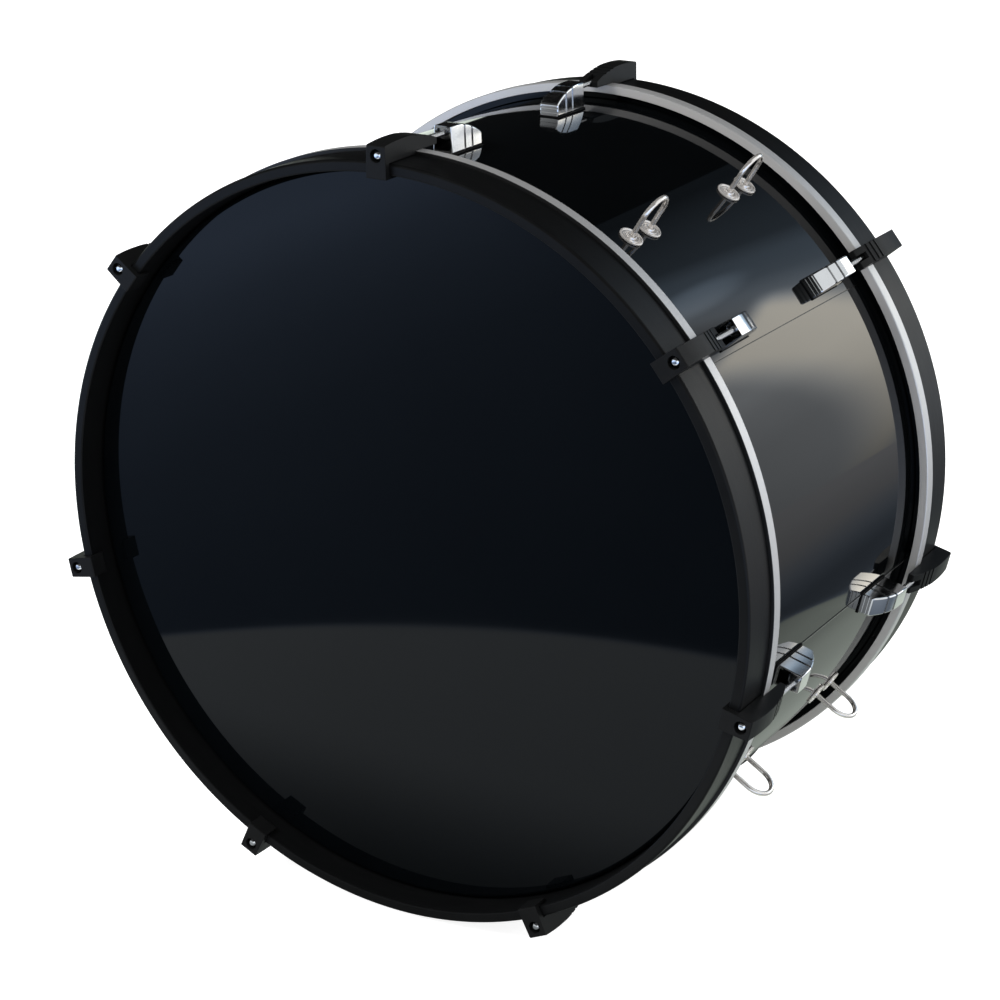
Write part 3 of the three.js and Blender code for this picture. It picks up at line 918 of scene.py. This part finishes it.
# Ground: a pale pool round the drum, and what lies in front of the drum and to its right
POOL_MIDDLE = (0.08, 0.08)
POOL_RADIUS = 0.896
POOL_EDGE = 0.02
POOL_RISE, POOL_LEVEL = 0.736, 0.576
# Along Y the pool dims close in front of the drum: painted shadow of the drum.
POOL_SHADE = (-0.46, -0.24, 1.0, 0.3)
POOL_TINT = (0.93, 1.0, 1.06, 1.0)
FRONT_TINT = (0.75, 1.0, 1.5, 1.0)
FRONT_GROUND = ((-1.6, 1.34), (-1.5, 1.15), (-1.35, 0.83), (-1.15, 0.58), (-0.9, 0.38),
                (-0.66, 0.28), (-0.45, 0.22), (-0.2, 0.17), (0.0, 0.15), (0.5, 0.26), (0.9, 1.0),
                (1.5, 1.3))
FRONT_TO_SIDE = (-0.3, -0.1)
# The first stops, close under the drum, are low: painted shadow of the drum.
SIDE_GROUND = ((0.0, 0.01), (0.14, 0.04), (0.19, 0.4), (0.22, 0.49), (0.3, 0.61), (0.37, 0.73),
               (0.43, 0.7), (0.447, 0.64), (0.468, 0.24), (0.5, 0.15), (0.54, 0.14), (0.6, 0.15),
               (0.67, 0.235), (0.74, 0.347), (0.88, 0.53), (1.0, 0.64), (1.27, 0.84), (1.6, 0.96),
               (2.5, 1.4))
SIDE_LEFT = (-0.25, -0.08, 1.1, 0.0)
SIDE_NEAR_EDGE = (0.445, 0.475)
SIDE_FAR_EDGE = (0.6, 0.95)
SIDE_NEAR_TINT = (0.9, 1.0, 0.9, 1.0)
SIDE_TINT = (0.8, 0.97, 1.22, 1.0)
SIDE_FAR_TINT = (0.97, 0.98, 1.02, 1.0)

# Bulge of the pale ground's edge on the right: along Y, back again, out along X, back again
BULGE_FROM = (0.3, 0.4)
BULGE_TO = (0.49, 0.6, 0.11, 0.0)
BULGE_NEAR = (0.36, 0.44)
BULGE_FAR = (0.62, 0.75, 1.0, 0.0)

# Wall behind on the right, with one warm soft lamp and a paler stretch past it
WALL = (0.0, 3.2, -0.02, 2.4, 2.2)
LAMP_BY_HEIGHT = ((0.0, 1.1), (0.2, 1.95), (0.3, 2.4), (0.45, 3.1), (0.55, 3.6), (0.7, 4.55),
                  (0.95, 5.65), (1.25, 6.3), (1.5, 6.7))
LAMP_RIGHT = (1.36, 1.53, 1.0, 0.0)
LAMP_LEFT = (1.31, 1.42)
LAMP_TOP = (1.84, 1.93, 1.0, 0.0)
LAMP_LEAN, LAMP_TOP_LEAN = 0.2, 0.4
LAMP_TINT = (1.05, 1.0, 0.88, 1.0)
WALL_BY_HEIGHT = ((0.0, 0.94), (0.28, 1.23), (0.57, 1.46), (0.85, 1.9), (1.0, 2.36), (1.3, 2.5))
WALL_BY_SIDE = ((0.1, 0.055), (0.4, 0.19), (0.66, 0.3), (0.78, 0.7), (0.86, 0.8), (0.92, 0.9),
                (1.02, 1.5), (1.1, 1.6), (1.2, 0.9), (1.6, 0.9))
WALL_PAST = (1.2, 1.4)
WALL_PAST_TOP = (1.35, 1.5, 1.0, 0.0)
WALL_SPOT = (0.96, 1.71)
WALL_SPOT_FADE = (0.0, 0.022, 0.9, 0.0)
WALL_TURN = (0.8, 1.3)
WALL_TINT = (0.75, 0.98, 1.25, 1.0)
WALL_PAST_TINT = (0.95, 1.0, 1.05, 1.0)

# World: easings along the three parts of a direction
WORLD_LIGHT = 1.15
WORLD_LEVEL, WORLD_RIGHT_LEVEL, WORLD_BEHIND_LEVEL = 0.3, 0.8, 0.006
WORLD_LOW = (0.12, 0.42, 1.0, 0.0)
WORLD_RIGHT = (0.3, 0.55)
WORLD_BEHIND = (0.4, 0.75)
WORLD_BEHIND_LEFT = (-0.15, 0.1, 1.0, 0.0)
WORLD_FRONT = (-0.5, -0.1, 0.5, 0.0)
WORLD_ABOVE = (-0.3, 0.1, 0.05, 0.002)
WORLD_ABOVE_RIGHT = (-0.35, -0.05)
WORLD_TINT = (0.93, 0.97, 1.0, 1.0)

# Camera
CAMERA_PLACE = (1.1110, -1.8958, 1.1382)
CAMERA_AIM = (-0.47824, 0.80741, -0.34551)
CAMERA_LENS = 91.25
CAMERA_SENSOR = 36.0


def sheet():
    """Square of two metres, flat on the ground."""
    stock = bmesh.new()
    bmesh.ops.create_grid(stock, x_segments=1, y_segments=1, size=1.0)
    return stock


def flat(width, height):
    """Level square sheet at one height."""
    stock = sheet()
    bmesh.ops.scale(stock, verts=stock.verts, vec=(width / 2, width / 2, 1))
    bmesh.ops.translate(stock, verts=stock.verts, vec=(0, 0, height))
    return stock


def upright(left, right, low, high, along):
    """Flat sheet standing across Y at one place along it."""
    stock = sheet()
    bmesh.ops.rotate(stock, verts=stock.verts, cent=ORIGIN,
                     matrix=Matrix.Rotation(QUARTER_TURN, 3, "X"))
    bmesh.ops.scale(stock, verts=stock.verts, vec=((right - left) / 2, 1, (high - low) / 2))
    bmesh.ops.translate(stock, verts=stock.verts,
                        vec=((left + right) / 2, along, (low + high) / 2))
    return stock


def staged(name, stock, material):
    """A floor or reflector, which isn't part of the drum."""
    thing = loose(stock, name)
    thing.data.materials.append(material)
    return thing


def reflector(name, stock, material):
    """A stage sheet that only glossy surfaces see."""
    thing = staged(name, stock, material)
    thing.visible_camera = False
    thing.visible_diffuse = False
    thing.visible_shadow = False
    thing.visible_transmission = False


def floor_paint():
    """Pale paint that shines a little of its own, so that the floor stays even."""
    finish, _ = painted("studio_floor", Roughness=0.9, Base_Color=grey(0.5),
                        Emission_Color=grey(1.0), Emission_Strength=0.85)
    return finish.owner


def glowing(name):
    """A material that only gives light; its colour and strength are fed by the caller."""
    material = bpy.data.materials.new(name)
    finish = Finish(material)
    finish.tree.nodes.remove(finish.tree.nodes["Principled BSDF"])
    glow = finish.node("ShaderNodeEmission")
    finish.feed(finish.tree.nodes["Material Output"].inputs["Surface"], glow.outputs[0])
    return finish, glow


def ground_glow():
    """What glossy surfaces see of the floor: pale by the drum but for painted shadow of the drum
    close to it, darker further out in front.
    """
    finish, glow = glowing("ground_reflection")
    _, (x, y, _) = finish.places()
    reach = distance(x - POOL_MIDDLE[0], y - POOL_MIDDLE[1])
    pool = finish.eased(reach, POOL_RADIUS, POOL_RADIUS + POOL_EDGE, 1.0, 0.0)
    lit = pool * (reach * POOL_RISE + POOL_LEVEL) * finish.eased(y, *POOL_SHADE)
    front = lit + (1 - pool) * finish.curve(x, FRONT_GROUND)
    bulge = finish.eased(y, *BULGE_FROM) * finish.eased(y, *BULGE_TO)
    bulge = bulge * finish.eased(x, *BULGE_NEAR) * finish.eased(x, *BULGE_FAR)
    side = finish.curve(x - bulge, SIDE_GROUND) + finish.eased(x, *SIDE_LEFT)
    beside = finish.eased(y, *FRONT_TO_SIDE)
    front_tint = finish.blend(pool, FRONT_TINT, POOL_TINT)
    far_tint = finish.blend(finish.eased(x, *SIDE_FAR_EDGE), SIDE_TINT, SIDE_FAR_TINT)
    near = finish.eased(x - bulge, *SIDE_NEAR_EDGE)
    side_tint = finish.blend(near, SIDE_NEAR_TINT, far_tint)
    finish.feed(glow.inputs["Color"], finish.blend(beside, front_tint, side_tint))
    finish.feed(glow.inputs["Strength"], front * (1 - beside) + side * beside)
    return finish.owner


def wall_glow():
    """What glossy surfaces see behind on the right: a pale wall with one warm soft lamp."""
    finish, glow = glowing("wall_reflection")
    _, (x, _, z) = finish.places()
    lamp = finish.eased(x, *LAMP_RIGHT) * finish.eased(x + z * LAMP_LEAN, *LAMP_LEFT)
    lamp = lamp * finish.eased(z + x * LAMP_TOP_LEAN, *LAMP_TOP)
    past = finish.eased(x, *WALL_PAST) * finish.eased(z, *WALL_PAST_TOP)
    aside, above = x - WALL_SPOT[0], z - WALL_SPOT[1]
    spot = finish.eased(aside * aside + above * above, *WALL_SPOT_FADE)
    wall = (finish.curve(x, WALL_BY_SIDE) + spot) * (1 - past)
    wall = wall + finish.curve(z, WALL_BY_HEIGHT) * past
    tint = finish.blend(finish.eased(x, *WALL_TURN), WALL_TINT, WALL_PAST_TINT)
    finish.feed(glow.inputs["Color"], finish.blend(lamp, tint, LAMP_TINT))
    finish.feed(glow.inputs["Strength"],
                lamp * finish.curve(z, LAMP_BY_HEIGHT) + (1 - lamp) * wall)
    return finish.owner


def studio_world():
    """Even pale light. Glossy surfaces see it dim instead, with a low band, paler on the right."""
    world = bpy.data.worlds.new("studio")
    bpy.context.scene.world = world
    finish = Finish(world)
    plain = finish.tree.nodes["Background"]
    plain.inputs["Color"].default_value = (1.0, 1.0, 1.0, 1.0)
    plain.inputs["Strength"].default_value = WORLD_LIGHT
    x, y, z = finish.split(finish.node("ShaderNodeTexCoord").outputs["Generated"])
    low = finish.eased(z, *WORLD_LOW)
    right = finish.eased(x, *WORLD_RIGHT)
    behind = finish.eased(y, *WORLD_BEHIND) * finish.eased(x, *WORLD_BEHIND_LEFT)
    level = WORLD_LEVEL + right * WORLD_RIGHT_LEVEL + finish.eased(y, *WORLD_FRONT)
    level = level * (1 - behind) + behind * WORLD_BEHIND_LEVEL
    above = finish.eased(y, *WORLD_ABOVE) + right * finish.eased(y, *WORLD_ABOVE_RIGHT)
    glossy = finish.node("ShaderNodeBackground", None,
                         {"Color": WORLD_TINT, "Strength": low * level + (1 - low) * above})
    path = finish.node("ShaderNodeLightPath")
    mix = finish.node("ShaderNodeMixShader", None, {0: path.outputs["Is Glossy Ray"],
                                                    1: plain.outputs[0], 2: glossy.outputs[0]})
    finish.feed(finish.tree.nodes["World Output"].inputs["Surface"], mix.outputs[0])


def aimed(name, data, place, direction):
    """A light or camera at a place, looking in a direction."""
    holder = bpy.data.objects.new(name, data)
    bpy.context.scene.collection.objects.link(holder)
    holder.location = place
    holder.rotation_euler = direction.to_track_quat("-Z", "Y").to_euler()
    return holder


def area_light(name, place, side, power):
    """Square soft light aimed at the drum and not mirrored in it."""
    lamp = bpy.data.lights.new(name, "AREA")
    lamp.shape = "RECTANGLE"
    lamp.size = lamp.size_y = side
    lamp.energy = power
    holder = aimed(name, lamp, place, Vector(DRUM_MIDDLE) - Vector(place))
    holder.visible_glossy = False


def add_camera():
    """Camera at the photograph's viewing angle."""
    lens = bpy.data.cameras.new("camera")
    lens.lens = CAMERA_LENS
    lens.sensor_width = CAMERA_SENSOR
    lens.clip_end = 200.0
    bpy.context.scene.camera = aimed("camera", lens, CAMERA_PLACE, Vector(CAMERA_AIM))


def add_studio():
    """Floor, what glossy surfaces see, and two soft lights."""
    floor = staged("floor", flat(FLOOR_WIDTH, 0.0), floor_paint())
    floor.visible_glossy = False
    reflector("ground_reflector", flat(GROUND_WIDTH, GROUND_HEIGHT), ground_glow())
    studio_world()
    reflector("wall_reflector", upright(*WALL), wall_glow())
    area_light("key", place=(-1.6, -2.2, 2.8), side=1.6, power=160)
    area_light("fill", place=(2.6, -0.8, 1.6), side=1.4, power=24)
    bpy.context.scene.view_settings.view_transform = "Standard"


def build_drum():
    """All pieces of the drum, each kind in its finish."""
    finishes = {
        "wrap": shell_wrap(),
        "hoop": hoop_lacquer(),
        "flesh": flesh_hoop_metal(),
        "film": head_film(),
        "claw": cast_paint("claw_satin_black", 0.0028, 0.34),
        "gasket": cast_paint("gasket_black", 0.002, 0.6),
        # The rod washers' black is partly painted shade for the deep hole in the claw.
        "collar": cast_paint("washer_black_painted_shade", 0.0015, 0.5),
        "lug": plated("lug_bright_chrome", 0.72, 1.0, 0.07),
        "rod": threaded(),
        "loop": plated("loop_nickel", 0.76, 0.85, 0.1, 0.05),
        "washer": plated("washer_nickel", 0.62, 0.7, 0.18, 0.05),
        "vent": plated("vent_nickel", 0.7, 0.85, 0.2),
    }
    add_rings(finishes)
    add_stations(finishes)
    add_loops(finishes)
    add_vent(finishes)


add_camera()
add_studio()
build_drum()
